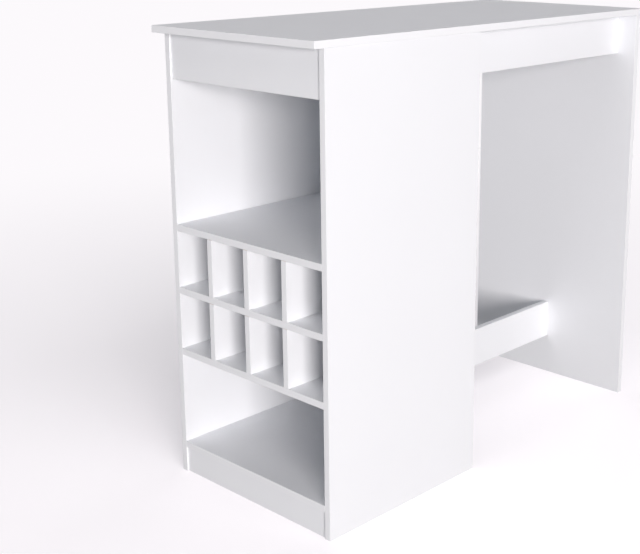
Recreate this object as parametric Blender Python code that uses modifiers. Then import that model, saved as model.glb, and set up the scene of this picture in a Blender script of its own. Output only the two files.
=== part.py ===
"""Bar table: an open bottle-rack tower at one end and a panel leg at the other, under one thin top.

It is flat-pack furniture. Every board is faced chipboard. Cam locks with their bolts, and wooden
dowels, hold the boards together, and the rack's dividers stand in grooves of the shelves.
Nothing on it moves in use.

Units are metres and +Z is up. +X runs from the tower to the leg, and the front is towards -Y.
The origin is on the floor under the middle of the top.
"""
import math
from collections import namedtuple

import bmesh
import bpy
from mathutils import Matrix, Vector

# Top
TOP_LENGTH = 1.140
TOP_DEPTH = 0.500
TOP_THICKNESS = 0.015
TABLE_HEIGHT = 1.030
TOWER_OVERHANG = 0.030      # top past the tower's open end
LEG_OVERHANG = 0.005        # top past the leg's outer face
SIDE_OVERHANG = 0.005       # top past the panels, front and rear

# Tower
BOARD = 0.015               # thickness of every board below the top
TOWER_LENGTH = 0.465
HEADER_HEIGHT = 0.100
PLINTH_HEIGHT = 0.060
TRIM_RECESS = 0.004         # header and plinth, back from the open end
LOWER_SPACE = 0.213         # clear height of the lower compartment
BOTTLE_SPACE = 0.130        # clear height of a row of the bottle rack
RACK_SHELVES = ("lower_shelf", "middle_shelf", "upper_shelf")
RACK_ROWS = ("lower", "upper")
RACK_COLUMNS = 4
GROOVE_DEPTH = 0.003        # how far a divider stands in a shelf
GROOVE_STOP = 0.012         # grooves stop this far behind the open end

# Rails of the knee space
APRON_HEIGHT = 0.100
APRON_SETBACK = 0.050       # apron's outer face, in from the edge of the leg
STRETCHER_HEIGHT = 0.100
STRETCHER_LIFT = 0.107      # floor to the stretcher's lower edge

# Fasteners
GAP = 0.0003                # clearance between pieces that touch
CAM_DIAMETER = 0.015
CAM_BACKSET = 0.034         # end of a board to the middle of its cam
CAM_SKIN = 0.0025           # board left under a cam
CAM_SLOT_LENGTH = 0.009     # cross slot that turns the cam
CAM_SLOT_WIDTH = 0.0016
CAM_SLOT_DEPTH = 0.0018
BOLT_DIAMETER = 0.006
BOLT_SCREW_DIAMETER = 0.005
BOLT_NECK_DIAMETER = 0.0036
BOLT_NECK = 0.003           # length of the neck that the cam grips
BOLT_HEAD = 0.004
DOWEL_DIAMETER = 0.008
DOWEL_LENGTH = 0.030
FACE_SKIN = 0.0035          # board left behind a hole in its face
END_CAM_RISE = 0.100        # upper shelf to the end panel's cams above it
CAM_SIDES = 16
PIN_SIDES = 10
SHARP_ANGLE = math.radians(40)
MERGE_DISTANCE = 0.00001    # points of a turned piece that are one point

# Finishes: base colour, roughness and metallic value
FINISHES = {
    "white_melamine": ((0.86, 0.86, 0.87), 0.42, 0.0),
    "zinc": ((0.62, 0.62, 0.63), 0.40, 1.0),
    "steel": ((0.55, 0.55, 0.56), 0.35, 1.0),
    "beech": ((0.62, 0.42, 0.24), 0.70, 0.0),
}

# Levels, from the floor up
UNDER_TOP = TABLE_HEIGHT - TOP_THICKNESS
BOTTOM_SHELF = PLINTH_HEIGHT
RACK_BASE = BOTTOM_SHELF + BOARD + LOWER_SPACE
RACK_PITCH = BOARD + BOTTLE_SPACE

# Planes along the table
TOWER_START = TOWER_OVERHANG - TOP_LENGTH / 2
TOWER_END = TOWER_START + TOWER_LENGTH
SHELF_END = TOWER_END - BOARD
SHELF_MIDDLE = (TOWER_START + SHELF_END) / 2
TRIM_START = TOWER_START + TRIM_RECESS
LEG_OUTER = TOP_LENGTH / 2 - LEG_OVERHANG
LEG_INNER = LEG_OUTER - BOARD

# Planes across the table, measured from its middle
PANEL_OUTER = TOP_DEPTH / 2 - SIDE_OVERHANG
PANEL_INNER = PANEL_OUTER - BOARD
APRON_OUTER = PANEL_OUTER - APRON_SETBACK
APRON_INNER = APRON_OUTER - BOARD

# How deep the fasteners go
FACE_DEPTH = min(BOARD, TOP_THICKNESS) - FACE_SKIN
CAM_FACE = BOARD / 2        # from the middle of a board to the side that its cam opens to
CAM_BACK = CAM_FACE - BOARD + CAM_SKIN
BOLT_REACH = CAM_BACKSET + BOLT_HEAD / 2
CUT_START = 0.002           # a cutter starts this far outside what it cuts

LEFT, RIGHT = Vector((-1, 0, 0)), Vector((1, 0, 0))
FORWARD, BACK = Vector((0, -1, 0)), Vector((0, 1, 0))
DOWN, UP = Vector((0, 0, -1)), Vector((0, 0, 1))

# A long side of the tower: its name, its panel, the panel's inner plane and the way into the tower
Side = namedtuple("Side", "name panel inner inward")
SIDES = (
    Side("front", "tower_front_panel", -PANEL_INNER, BACK),
    Side("rear", "tower_rear_panel", PANEL_INNER, FORWARD),
)

for old in list(bpy.data.objects):
    bpy.data.objects.remove(old, do_unlink=True)


def new_collection(name):
    """Add a collection to the scene."""
    collection = bpy.data.collections.new(name)
    bpy.context.scene.collection.children.link(collection)
    return collection


def new_material(name, colour, roughness, metallic):
    """Make a plain surface finish."""
    material = bpy.data.materials.new(name)
    material.use_nodes = True
    shader = material.node_tree.nodes["Principled BSDF"]
    shader.inputs["Base Color"].default_value = (*colour, 1.0)
    shader.inputs["Roughness"].default_value = roughness
    shader.inputs["Metallic"].default_value = metallic
    return material


PARTS = new_collection("bar_table")
CUTTERS = new_collection("bar_table_cutters")
MATERIALS = {name: new_material(name, *values) for name, values in FINISHES.items()}
ROOT = bpy.data.objects.new("bar_table_origin", None)
PARTS.objects.link(ROOT)


def mesh_from(name, shape):
    """Turn a bmesh into a mesh."""
    bmesh.ops.recalc_face_normals(shape, faces=shape.faces)
    mesh = bpy.data.meshes.new(name)
    shape.to_mesh(mesh)
    shape.free()
    return mesh


def add_part(name, mesh, finish):
    """Add a piece of the table."""
    part = bpy.data.objects.new(name, mesh)
    part.parent = ROOT
    PARTS.objects.link(part)
    if not mesh.materials:
        mesh.materials.append(MATERIALS[finish])
    return part


def add_cutter(name, shape):
    """Add a shape that cuts a piece and is no piece itself."""
    cutter = bpy.data.objects.new(name, mesh_from(name, shape))
    cutter.hide_render = True
    cutter.display_type = "WIRE"
    CUTTERS.objects.link(cutter)
    return cutter


def cut(piece, label, cutter):
    """Cut a shape out of a piece."""
    modifier = piece.modifiers.new(label, "BOOLEAN")
    modifier.operation = "DIFFERENCE"
    modifier.object = cutter


def add_box(shape, low, high):
    """Add a box between two corners to a bmesh."""
    low, high = Vector(low), Vector(high)
    place = Matrix.LocRotScale((low + high) / 2, None, high - low)
    bmesh.ops.create_cube(shape, size=1.0, matrix=place)


def add_cylinder(shape, radius, sides, start, end, frame=Matrix()):
    """Add a closed cylinder to a bmesh, along the frame's Z from start to end."""
    place = frame @ Matrix.Translation((0, 0, (start + end) / 2))
    bmesh.ops.create_cone(
        shape, cap_ends=True, segments=sides, radius1=radius, radius2=radius, depth=end - start, matrix=place
    )


# Boards, and the cuts that they take: first grooves, then cam pockets, then drilled holes

BOARDS = {}
CUTS = {"grooves": {}, "cam pockets": {}, "drilled holes": {}}


def cut_shape(kind, board):
    """Bmesh that collects one kind of cut in a board."""
    shapes = CUTS[kind]
    if board not in shapes:
        shapes[board] = bmesh.new()
    return shapes[board]


def add_board(name, low, high):
    """Add a board that fills the box between two corners."""
    middle = (Vector(low) + Vector(high)) / 2
    shape = bmesh.new()
    add_box(shape, Vector(low) - middle, Vector(high) - middle)
    BOARDS[name] = add_part(name, mesh_from(name, shape), "white_melamine")
    BOARDS[name].location = middle


def add_cross_board(name, start, end, bottom, top):
    """Add a board that runs from one long side of the tower to the other."""
    half_width = PANEL_INNER - GAP
    add_board(name, (start, -half_width, bottom), (end, half_width, top))


def shelf_level(index):
    """Underside of a rack shelf, counted from the lowest."""
    return RACK_BASE + index * RACK_PITCH


def add_top():
    """Add the top, which lies on the panels and the leg."""
    corner = Vector((TOP_LENGTH / 2, TOP_DEPTH / 2, 0))
    add_board("table_top", UNDER_TOP * UP - corner, TABLE_HEIGHT * UP + corner)


def add_tower():
    """Add the tower's panels, trim and shelves."""
    panel_top = UNDER_TOP - GAP
    for side in SIDES:
        near, far = sorted((side.inner, side.inner - side.inward.y * BOARD))
        add_board(side.panel, (TOWER_START, near, 0), (TOWER_END, far, panel_top))
    add_cross_board("tower_end_panel", SHELF_END, TOWER_END, 0, panel_top)
    add_cross_board("header_rail", TRIM_START, TRIM_START + BOARD, UNDER_TOP - HEADER_HEIGHT, panel_top)
    add_cross_board("plinth", TRIM_START, TRIM_START + BOARD, 0, BOTTOM_SHELF - GAP)
    levels = {"bottom_shelf": BOTTOM_SHELF}
    levels.update((name, shelf_level(index)) for index, name in enumerate(RACK_SHELVES))
    for name, level in levels.items():
        add_cross_board(name, TOWER_START, SHELF_END - GAP, level, level + BOARD)


def add_divider(name, middle, floor, ceiling, shelf_below, shelf_above):
    """Add a divider of the bottle rack, with the stopped grooves that it stands in."""
    near, far = middle - BOARD / 2, middle + BOARD / 2
    foot, head = floor - GROOVE_DEPTH, ceiling + GROOVE_DEPTH
    stop = TOWER_START + GROOVE_STOP
    add_board(name, (TOWER_START, near, foot + GAP), (SHELF_END - GAP, far, head - GAP))
    notches = cut_shape("grooves", name)
    outside = TOWER_START - CUT_START
    add_box(notches, (outside, near - CUT_START, foot - CUT_START), (stop, far + CUT_START, floor + GAP))
    add_box(notches, (outside, near - CUT_START, ceiling - GAP), (stop, far + CUT_START, head + CUT_START))
    groove_low = (stop - GAP, near - GAP)
    groove_high = (SHELF_END + CUT_START, far + GAP)
    add_box(cut_shape("grooves", shelf_below), (*groove_low, foot), (*groove_high, floor + CUT_START))
    add_box(cut_shape("grooves", shelf_above), (*groove_low, ceiling - CUT_START), (*groove_high, head))


def add_rack():
    """Add the rows of dividers between the rack's shelves, spaced evenly."""
    column = (2 * PANEL_INNER - (RACK_COLUMNS - 1) * BOARD) / RACK_COLUMNS
    for index, row in enumerate(RACK_ROWS):
        floor = shelf_level(index) + BOARD
        for count in range(1, RACK_COLUMNS):
            middle = count * (column + BOARD) - BOARD / 2 - PANEL_INNER
            shelves = RACK_SHELVES[index:index + 2]
            add_divider(f"{row}_divider_{count}", middle, floor, floor + BOTTLE_SPACE, *shelves)


def add_leg_and_rails():
    """Add the panel leg and the rails that tie it to the tower."""
    panel_top = UNDER_TOP - GAP
    add_board("leg_panel", (LEG_INNER, -PANEL_OUTER, 0), (LEG_OUTER, PANEL_OUTER, panel_top))
    start = TOWER_END + GAP
    end = LEG_INNER - GAP
    apron_bottom = UNDER_TOP - APRON_HEIGHT
    add_board("front_apron", (start, -APRON_OUTER, apron_bottom), (end, -APRON_INNER, panel_top))
    add_board("rear_apron", (start, APRON_INNER, apron_bottom), (end, APRON_OUTER, panel_top))
    stretcher_top = STRETCHER_LIFT + STRETCHER_HEIGHT
    add_board("stretcher", (start, -BOARD / 2, STRETCHER_LIFT), (end, BOARD / 2, stretcher_top))


# Fasteners, each made once in the frame of its joint. There Z runs from the face of one board
# into the end of the other, and X points to the side of the second board that the cam opens to.

CAM_PLACE = Matrix.Translation((0, 0, CAM_BACKSET)) @ Matrix.Rotation(math.pi / 2, 4, "Y")


def baked_mesh(obj, cutters=()):
    """Mesh of an object as its modifiers shape it. The object and its cutters are then removed."""
    bpy.context.view_layer.update()
    mesh = bpy.data.meshes.new_from_object(obj.evaluated_get(bpy.context.evaluated_depsgraph_get()))
    for used in (obj, *cutters):
        bpy.data.objects.remove(used)
    return mesh


def shade_round(mesh):
    """Shade a turned piece smooth between its sharp edges."""
    mesh.shade_smooth()
    mesh.set_sharp_from_angle(angle=SHARP_ANGLE)
    return mesh


def cam_mesh():
    """Cam lock: a drum with a cross slot in its face and a bore in its side for the bolt's head."""
    drum_shape, bore_shape = bmesh.new(), bmesh.new()
    radius = CAM_DIAMETER / 2
    add_cylinder(drum_shape, radius, CAM_SIDES, CAM_BACK + GAP, CAM_FACE, CAM_PLACE)
    bore_start = CAM_BACKSET - radius - CUT_START
    add_cylinder(bore_shape, BOLT_DIAMETER / 2 + GAP, PIN_SIDES, bore_start, BOLT_REACH + GAP)
    drum = add_cutter("cam_drum", drum_shape)
    cutters = [add_cutter("bolt_bore", bore_shape)]
    half_length, half_width = CAM_SLOT_LENGTH / 2, CAM_SLOT_WIDTH / 2
    for across, along in ((half_length, half_width), (half_width, half_length)):
        slot_shape = bmesh.new()
        low = (CAM_FACE - CAM_SLOT_DEPTH, -across, CAM_BACKSET - along)
        high = (CAM_FACE + CUT_START, across, CAM_BACKSET + along)
        add_box(slot_shape, low, high)
        cutters.append(add_cutter("cam_slot", slot_shape))
    for cutter in cutters:
        cut(drum, cutter.name, cutter)
    return shade_round(baked_mesh(drum, cutters))


def bolt_mesh():
    """Cam bolt: a screw end for the face of a board, a shank, a neck and a head for the cam."""
    screw, shank, neck = BOLT_SCREW_DIAMETER / 2, BOLT_DIAMETER / 2, BOLT_NECK_DIAMETER / 2
    tip = GAP - FACE_DEPTH
    head_start = BOLT_REACH - BOLT_HEAD
    neck_start = head_start - BOLT_NECK
    outline = (
        (0, BOLT_REACH), (shank, BOLT_REACH), (shank, head_start), (neck, head_start), (neck, neck_start),
        (shank, neck_start), (shank, GAP), (screw, GAP), (screw, tip), (0, tip),
    )
    edges = [(index, index + 1) for index in range(len(outline) - 1)]
    mesh = bpy.data.meshes.new("cam_bolt_outline")
    mesh.from_pydata([(radius, 0, height) for radius, height in outline], edges, [])
    profile = bpy.data.objects.new("cam_bolt_outline", mesh)
    CUTTERS.objects.link(profile)
    turn = profile.modifiers.new("turned", "SCREW")
    turn.steps = PIN_SIDES
    turn.render_steps = PIN_SIDES
    turn.use_merge_vertices = True
    turn.merge_threshold = MERGE_DISTANCE
    return shade_round(baked_mesh(profile))


def dowel_mesh():
    """Wooden dowel, part in the face of one board and part in the end of the other."""
    shape = bmesh.new()
    add_cylinder(shape, DOWEL_DIAMETER / 2, PIN_SIDES, GAP - FACE_DEPTH, DOWEL_LENGTH - FACE_DEPTH)
    return shade_round(mesh_from("dowel", shape))


CAM = cam_mesh()
BOLT = bolt_mesh()
DOWEL = dowel_mesh()


def joint_frame(point, along, facing):
    """Frame of a joint at a point of one board's face, with Z into the other board's end."""
    frame = Matrix((facing, along.cross(facing), along)).transposed().to_4x4()
    frame.translation = point
    return frame


def add_fastener(name, mesh, finish, frame):
    """Add one fastener at its joint."""
    add_part(name, mesh, finish).matrix_local = frame


def drill(board, radius, start, end, frame):
    """Note a hole along the joint's Z in a board."""
    add_cylinder(cut_shape("drilled holes", board), radius + GAP, PIN_SIDES, start, end, frame)


def cam_joint(name, face_board, end_board, point, along, facing):
    """Pull the end of one board onto the face of another with a cam lock and its bolt."""
    frame = joint_frame(point, along, facing)
    add_fastener(f"{name}_cam_lock", CAM, "zinc", frame)
    add_fastener(f"{name}_cam_bolt", BOLT, "steel", frame)
    drill(face_board, BOLT_SCREW_DIAMETER / 2, -FACE_DEPTH, CUT_START, frame)
    drill(end_board, BOLT_DIAMETER / 2, -CUT_START, CAM_BACKSET, frame)
    pocket = cut_shape("cam pockets", end_board)
    radius = CAM_DIAMETER / 2 + GAP
    add_cylinder(pocket, radius, CAM_SIDES, CAM_BACK, CAM_FACE + CUT_START, frame @ CAM_PLACE)


def dowel_joint(name, face_board, end_board, point, along, facing):
    """Pin the end of one board to the face of another with a wooden dowel."""
    frame = joint_frame(point, along, facing)
    add_fastener(f"{name}_dowel", DOWEL, "beech", frame)
    drill(face_board, DOWEL_DIAMETER / 2, -FACE_DEPTH, CUT_START, frame)
    drill(end_board, DOWEL_DIAMETER / 2, -CUT_START, DOWEL_LENGTH - FACE_DEPTH + GAP, frame)


def join_tower():
    """Fasten what stands or lies between the tower's two side panels."""
    end_middle = (SHELF_END + TOWER_END) / 2
    end_cam = shelf_level(len(RACK_ROWS)) + BOARD + END_CAM_RISE
    trim_middle = TRIM_START + BOARD / 2
    header_middle = UNDER_TOP - HEADER_HEIGHT / 2
    joints = [
        (cam_joint, "tower_end_panel", (end_middle, end_cam), LEFT),
        (dowel_joint, "header_rail", (trim_middle, header_middle), RIGHT),
        (dowel_joint, "plinth", (trim_middle, PLINTH_HEIGHT / 2), RIGHT),
        (cam_joint, "bottom_shelf", (SHELF_MIDDLE, BOTTOM_SHELF + BOARD / 2), DOWN),
    ]
    for index, shelf in enumerate(RACK_SHELVES):
        is_outer = index in (0, len(RACK_SHELVES) - 1)
        fasten = cam_joint if is_outer else dowel_joint
        joints.append((fasten, shelf, (SHELF_MIDDLE, shelf_level(index) + BOARD / 2), DOWN))
    for fasten, board, (along_table, height), facing in joints:
        for side in SIDES:
            point = (along_table, side.inner, height)
            fasten(f"{board}_{side.name}", side.panel, board, point, side.inward, facing)


def join_rails():
    """Fasten the aprons and the stretcher between the tower and the leg."""
    apron_middle = APRON_OUTER - BOARD / 2
    apron_height = UNDER_TOP - APRON_HEIGHT / 2
    rails = (
        ("front_apron", -apron_middle, apron_height, BACK),
        ("rear_apron", apron_middle, apron_height, FORWARD),
        ("stretcher", 0, STRETCHER_LIFT + STRETCHER_HEIGHT / 2, BACK),
    )
    for rail, across, height, facing in rails:
        cam_joint(f"{rail}_tower", "tower_end_panel", rail, (TOWER_END, across, height), RIGHT, facing)
        cam_joint(f"{rail}_leg", "leg_panel", rail, (LEG_INNER, across, height), LEFT, facing)


def join_top():
    """Pull the top down onto the tower's panels and the leg."""
    panel_middle = PANEL_OUTER - BOARD / 2
    tower_middle = (TOWER_START + TOWER_END) / 2
    for side in SIDES:
        point = (tower_middle, -side.inward.y * panel_middle, UNDER_TOP)
        cam_joint(f"table_top_{side.name}", "table_top", side.panel, point, DOWN, side.inward)
    leg_middle = (LEG_INNER + LEG_OUTER) / 2
    cam_joint("table_top_leg", "table_top", "leg_panel", (leg_middle, 0, UNDER_TOP), DOWN, LEFT)


def cut_boards():
    """Cut the noted grooves, pockets and holes into the boards."""
    for kind, shapes in CUTS.items():
        for board, shape in shapes.items():
            cut(BOARDS[board], kind, add_cutter(f"{board} {kind}", shape))


add_top()
add_tower()
add_rack()
add_leg_and_rails()
join_tower()
join_rails()
join_top()
cut_boards()
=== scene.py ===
"""Looks of the bar table: white boards with edge bands and drillings, the fasteners that join them,
a pale studio and the photograph's camera.

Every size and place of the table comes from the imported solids. One node tree makes each board again from
its solid's box, and three more make the fasteners. All these pieces stand for their solids.
"""

import logging
import math
from collections.abc import Iterable, Mapping, Sequence
from dataclasses import dataclass, fields
from enum import Enum
from functools import cache
from typing import ClassVar, Union

import bpy
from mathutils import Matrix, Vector


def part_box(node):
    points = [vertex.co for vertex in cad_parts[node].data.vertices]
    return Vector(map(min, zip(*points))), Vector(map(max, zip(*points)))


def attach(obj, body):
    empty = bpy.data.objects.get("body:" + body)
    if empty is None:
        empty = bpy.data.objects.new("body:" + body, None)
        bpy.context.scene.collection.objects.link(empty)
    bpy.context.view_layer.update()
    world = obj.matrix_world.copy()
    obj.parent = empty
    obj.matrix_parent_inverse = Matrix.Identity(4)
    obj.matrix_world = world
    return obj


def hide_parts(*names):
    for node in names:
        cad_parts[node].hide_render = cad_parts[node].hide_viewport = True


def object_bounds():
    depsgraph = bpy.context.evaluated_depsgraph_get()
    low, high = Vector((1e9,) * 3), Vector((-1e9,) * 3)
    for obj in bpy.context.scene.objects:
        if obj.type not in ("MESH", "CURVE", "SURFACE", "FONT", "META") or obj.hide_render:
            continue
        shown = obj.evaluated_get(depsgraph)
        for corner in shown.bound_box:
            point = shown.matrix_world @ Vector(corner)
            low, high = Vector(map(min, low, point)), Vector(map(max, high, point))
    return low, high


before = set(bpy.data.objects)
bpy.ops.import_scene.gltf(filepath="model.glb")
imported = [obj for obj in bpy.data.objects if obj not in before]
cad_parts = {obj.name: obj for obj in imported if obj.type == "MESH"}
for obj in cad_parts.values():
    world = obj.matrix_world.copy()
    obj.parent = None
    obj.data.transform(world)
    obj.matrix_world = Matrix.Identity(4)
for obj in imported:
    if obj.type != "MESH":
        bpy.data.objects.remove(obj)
CAD_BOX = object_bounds()

LOG = logging.getLogger("bar_table")
BODY = "root"

CLEARANCE = 0.0003          # gap round each fastener and divider, as in the solids
THROUGH = 0.002             # how far a cutter runs past the side that it opens
STEEPNESS = 1e6             # turns a distance in metres into a mask of 0 or 1
SMOOTH_ANGLE = math.radians(32)     # an edge that turns by more than this stays sharp
QUARTER_TURN = math.pi / 2
SEEN_RAYS = ("Camera", "Glossy", "Transmission")
POINT_VECTORS = ("along", "reach", "bolt_way")

Triple = tuple[float, float, float]
Colour = Triple
Operand = Union["Field", float, Triple]

BACKDROP_WHITE: Colour = (0.975, 0.950, 0.975)


class Field:
    """An output socket whose operators add the Math or Vector Math nodes that work them out."""

    def __init__(self, graph: "Graph", socket: bpy.types.NodeSocket | None) -> None:
        """Wrap a socket, or None for a node that ends a graph."""
        self.graph = graph
        self.socket = socket

    @property
    def is_vector(self) -> bool:
        """Whether the socket carries a vector."""
        return self.socket.type == "VECTOR"

    def _maths(self, operation: str, *operands: Operand) -> "Field":
        """Add a Math node, or a Vector Math node where an operand is a vector.

        Args:
            operation: Name of the node's operation.
            operands: Fields or values of its inputs, in order.

        Returns:
            Field of the result.
        """
        has_vector = any(
            item.is_vector if isinstance(item, Field) else isinstance(item, tuple)
            for item in operands
        )
        kind = "ShaderNodeVectorMath" if has_vector else "ShaderNodeMath"
        return self.graph.node(kind, {"operation": operation}, dict(enumerate(operands)))

    def __add__(self, other: Operand) -> "Field":
        """Sum of two fields."""
        return self._maths("ADD", self, other)

    __radd__ = __add__

    def __sub__(self, other: Operand) -> "Field":
        """Difference of two fields."""
        return self._maths("SUBTRACT", self, other)

    def __rsub__(self, other: Operand) -> "Field":
        """Difference of a value and this field."""
        return self._maths("SUBTRACT", other, self)

    def __mul__(self, other: Operand) -> "Field":
        """Product of two fields."""
        return self._maths("MULTIPLY", self, other)

    __rmul__ = __mul__

    def __truediv__(self, other: Operand) -> "Field":
        """Quotient of two fields."""
        return self._maths("DIVIDE", self, other)

    def __rtruediv__(self, other: Operand) -> "Field":
        """Quotient of a value and this field."""
        return self._maths("DIVIDE", other, self)

    def __neg__(self) -> "Field":
        """The field with its sign turned."""
        return 0.0 - self

    def __abs__(self) -> "Field":
        """The field without its sign."""
        return self._maths("ABSOLUTE", self)

    def sign(self) -> "Field":
        """Minus one, zero or one."""
        return self._maths("SIGN", self)

    def cosine(self) -> "Field":
        """Cosine of an angle in radians."""
        return self._maths("COSINE", self)

    def angle_to(self, along: "Field") -> "Field":
        """Angle whose tangent is this field over another one."""
        return self._maths("ARCTAN2", self, along)

    def between(self, low: Operand, high: Operand) -> "Field":
        """The field, kept between two limits."""
        return self._maths("MINIMUM", self._maths("MAXIMUM", self, low), high)

    def mask(self) -> "Field":
        """One where a distance is above zero, and zero elsewhere."""
        return (self * STEEPNESS).between(0.0, 1.0)

    def normalized(self) -> "Field":
        """The vector, made one long."""
        return self._maths("NORMALIZE", self)

    def length(self) -> "Field":
        """Length of a vector."""
        return self._maths("LENGTH", self)

    def dot(self, other: Operand) -> "Field":
        """Dot product of two vectors."""
        return self._maths("DOT_PRODUCT", self, other)

    def parts(self) -> tuple["Field", "Field", "Field"]:
        """The three parts of a vector."""
        split = self.graph.node("ShaderNodeSeparateXYZ", sockets={"Vector": self}).socket.node
        return tuple(Field(self.graph, socket) for socket in split.outputs)


class Graph:
    """A node tree that is written as Python expressions."""

    def __init__(self, tree: bpy.types.NodeTree) -> None:
        """Take over the tree of a material, a world or a modifier, and clear it."""
        self.tree = tree
        tree.nodes.clear()

    def node(
        self,
        kind: str,
        settings: Mapping[str, object] | None = None,
        sockets: Mapping[str | int, object] | None = None,
        output: str = "",
    ) -> Field:
        """Add a node.

        Args:
            kind: Type name of the node.
            settings: The node's properties, set before its sockets. A ramp's stops are among them.
            sockets: Values of its inputs, or fields linked to them, by name or number.
            output: Name of the output to read. If it is empty, the first output in use is read.

        Returns:
            Field of that output.
        """
        node = self.tree.nodes.new(kind)
        for name, value in (settings or {}).items():
            if name == "stops":
                self._set_stops(node.color_ramp.elements, value)
            else:
                setattr(node, name, value)
        for key, value in (sockets or {}).items():
            self._feed(self._input(node, key), value)
        outputs = [socket for socket in node.outputs if socket.enabled and output in ("", socket.name)]
        return Field(self, outputs[0] if outputs else None)

    @staticmethod
    def _set_stops(elements: bpy.types.ColorRampElements, stops: Sequence[tuple[float, Colour]]) -> None:
        """Give a colour ramp its stops.

        Args:
            elements: Stops of a new ramp, which has two.
            stops: Place and colour of each stop.
        """
        while len(elements) < len(stops):
            elements.new(1.0)
        for element, (place, colour) in zip(elements, stops):
            element.position = place
            element.color = (*colour, 1.0)

    @staticmethod
    def _input(node: bpy.types.Node, key: str | int) -> bpy.types.NodeSocket:
        """Find an input socket of a node.

        Args:
            node: Node to look at.
            key: Name of an input in use, or its number.

        Returns:
            The input socket.
        """
        if isinstance(key, int):
            return node.inputs[key]
        return next(socket for socket in node.inputs if socket.enabled and socket.name == key)

    def _feed(self, socket: bpy.types.NodeSocket, value: object) -> None:
        """Set or link an input socket.

        Args:
            socket: Input socket.
            value: Value, field, or list of fields for a socket that takes several.
        """
        if isinstance(value, Field):
            self.tree.links.new(value.socket, socket)
        elif isinstance(value, list):
            for part in value:
                self._feed(socket, part)
        elif socket.type == "RGBA":
            socket.default_value = (*value, 1.0)
        elif socket.type == "VECTOR" and not isinstance(value, tuple):
            socket.default_value = (value, value, value)
        else:
            socket.default_value = value

    def place(self) -> Field:
        """Place on the surface, in metres of the table's own frame."""
        return self.node("ShaderNodeTexCoord", output="Object")

    def noise(self, place: Field, size: float, detail: float = 2.0) -> Field:
        """Soft random field, from about 0.2 to 0.8, with patches of a size in the vector's own units."""
        sockets = {"Vector": place, "Scale": 1.0 / size, "Detail": detail}
        return self.node("ShaderNodeTexNoise", sockets=sockets)

    def blend(self, share: Field, first: Field | Colour, second: Field | Colour) -> Field:
        """Mix two colours by the share of the second one."""
        return self.node("ShaderNodeMix", {"data_type": "RGBA"}, {"Factor": share, "A": first, "B": second})

    def bump(self, height: Field, depth: float) -> Field:
        """Normal of a surface whose height, from 0 to 1, stands for a depth in metres."""
        return self.node("ShaderNodeBump", sockets={"Distance": depth, "Height": height})

    def principled(self, sockets: Mapping[str, object]) -> Field:
        """Add the standard surface shader with these inputs."""
        return self.node("ShaderNodeBsdfPrincipled", sockets=sockets)

    def seen_rays(self) -> Field:
        """One for rays that show a picture: from the camera, off a gloss or through glass."""
        rays = [self.node("ShaderNodeLightPath", output=f"Is {name} Ray") for name in SEEN_RAYS]
        return sum(rays[1:], rays[0]).between(0.0, 1.0)


@dataclass(frozen=True)
class Finish:
    """A finish, which makes its own material."""

    name: str

    def paint(self, graph: Graph) -> Field:
        """Shader of the finish."""
        raise NotImplementedError

    def material(self) -> bpy.types.Material:
        """Make the material.

        Returns:
            A new material with the finish's nodes.
        """
        material = bpy.data.materials.new(self.name)
        material.use_nodes = True
        graph = Graph(material.node_tree)
        graph.node("ShaderNodeOutputMaterial", sockets={"Surface": self.paint(graph)})
        return material


@dataclass(frozen=True)
class WhiteSheet(Finish):
    """White sheet on a board: satin, with a fine grain, faint clouds and patches of other gloss."""

    colour: Colour
    smoothest: float
    roughest: float
    grain_height: float
    cloud_tone: float = 0.97        # darkest cloud, as a share of the colour
    cloud_size: float = 0.28
    patch_size: float = 0.06
    grain_size: float = 0.0012

    def paint(self, graph: Graph) -> Field:
        """Paint the sheet.

        Args:
            graph: Graph of the material.

        Returns:
            Shader of the sheet.
        """
        place = graph.place()
        clouds = graph.noise(place, self.cloud_size, detail=3.0)
        patches = graph.noise(place, self.patch_size, detail=4.0)
        grain = graph.noise(place, self.grain_size)
        cloudy = tuple(part * self.cloud_tone for part in self.colour)
        return graph.principled({
            "Base Color": graph.blend(clouds, cloudy, self.colour),
            "Roughness": self.smoothest + (self.roughest - self.smoothest) * patches,
            "Normal": graph.bump(grain, self.grain_height),
        })


@dataclass(frozen=True)
class GlueLine(Finish):
    """Hairline of glue between a board's face and its edge band."""

    colour: Colour = (0.70, 0.69, 0.68)
    dull_colour: Colour = (0.58, 0.57, 0.55)
    patch_size: float = 0.02
    roughness: float = 0.55

    def paint(self, graph: Graph) -> Field:
        """Shader of the glue."""
        patches = graph.noise(graph.place(), self.patch_size)
        return graph.principled({
            "Base Color": graph.blend(patches, self.dull_colour, self.colour),
            "Roughness": self.roughness,
        })


@dataclass(frozen=True)
class Chipboard(Finish):
    """Raw chipboard in drillings, grooves and edges without a band."""

    dark: Colour = (0.30, 0.19, 0.10)
    middling: Colour = (0.48, 0.34, 0.20)
    pale: Colour = (0.62, 0.48, 0.31)
    middling_place: float = 0.45
    chip_size: float = 0.003
    chip_height: float = 0.0003
    roughness: float = 0.85

    def paint(self, graph: Graph) -> Field:
        """Paint the chips.

        Args:
            graph: Graph of the material.

        Returns:
            Shader of the chips.
        """
        sockets = {"Vector": graph.place(), "Scale": 1.0 / self.chip_size}
        chips = graph.node("ShaderNodeTexVoronoi", sockets=sockets, output="Color")
        shade = graph.node("ShaderNodeSeparateColor", sockets={"Color": chips}, output="Red")
        stops = [(0.0, self.dark), (self.middling_place, self.middling), (1.0, self.pale)]
        hollows = graph.node("ShaderNodeTexVoronoi", sockets=sockets, output="Distance")
        return graph.principled({
            "Base Color": graph.node("ShaderNodeValToRGB", {"stops": stops}, {"Fac": shade}),
            "Roughness": self.roughness,
            "Normal": graph.bump(1 - hollows, self.chip_height),
        })


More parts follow.
